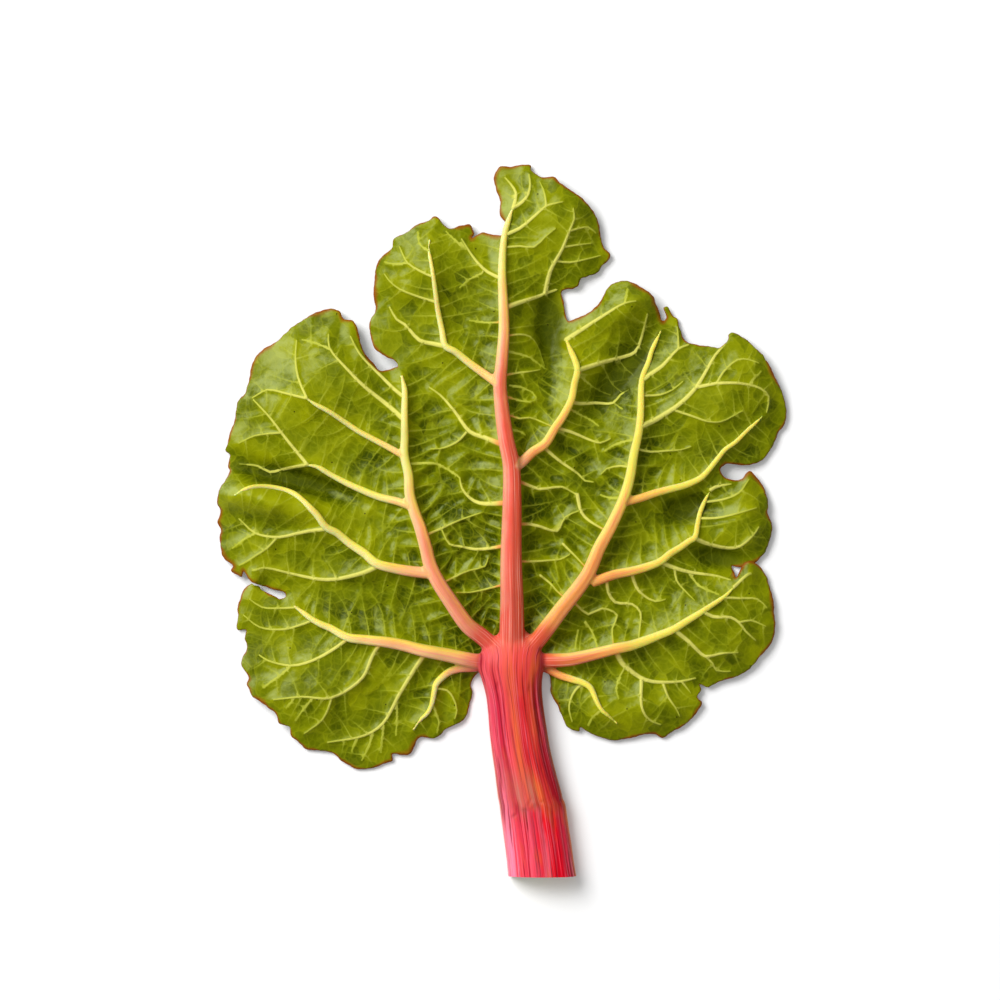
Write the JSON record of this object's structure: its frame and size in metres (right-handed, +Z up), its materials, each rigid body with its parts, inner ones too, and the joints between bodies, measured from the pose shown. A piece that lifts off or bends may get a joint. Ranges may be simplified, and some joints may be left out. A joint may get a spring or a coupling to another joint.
{
  "type": "rhubarb stalk with leaf",
  "caption": "Rhubarb leaf with the upper part of its ridged red stalk, lying underside up: a lobed, crumpled green blade with raised ribs that fan out from the stalk.",
  "frame": {"origin": "centre of the part's box, at the level of the surface that it lies on", "axes": "+Z up from the surface, +Y from the stalk's cut end towards the leaf's tip, +X to the right seen from above"},
  "size_m": [0.284, 0.3552, 0.0275],
  "materials": {
    "leaf_green": "satin leaf underside, olive green with a paler net of fine veins and a thin red-brown margin",
    "stalk_red": "smooth moist skin, crimson with pink ridges, running to salmon and cream along the ribs"
  },
  "bodies": {
    "root": {"leaf_blade": "leaf_green", "stalk_and_ribs": "stalk_red"}
  },
  "joints": []
}
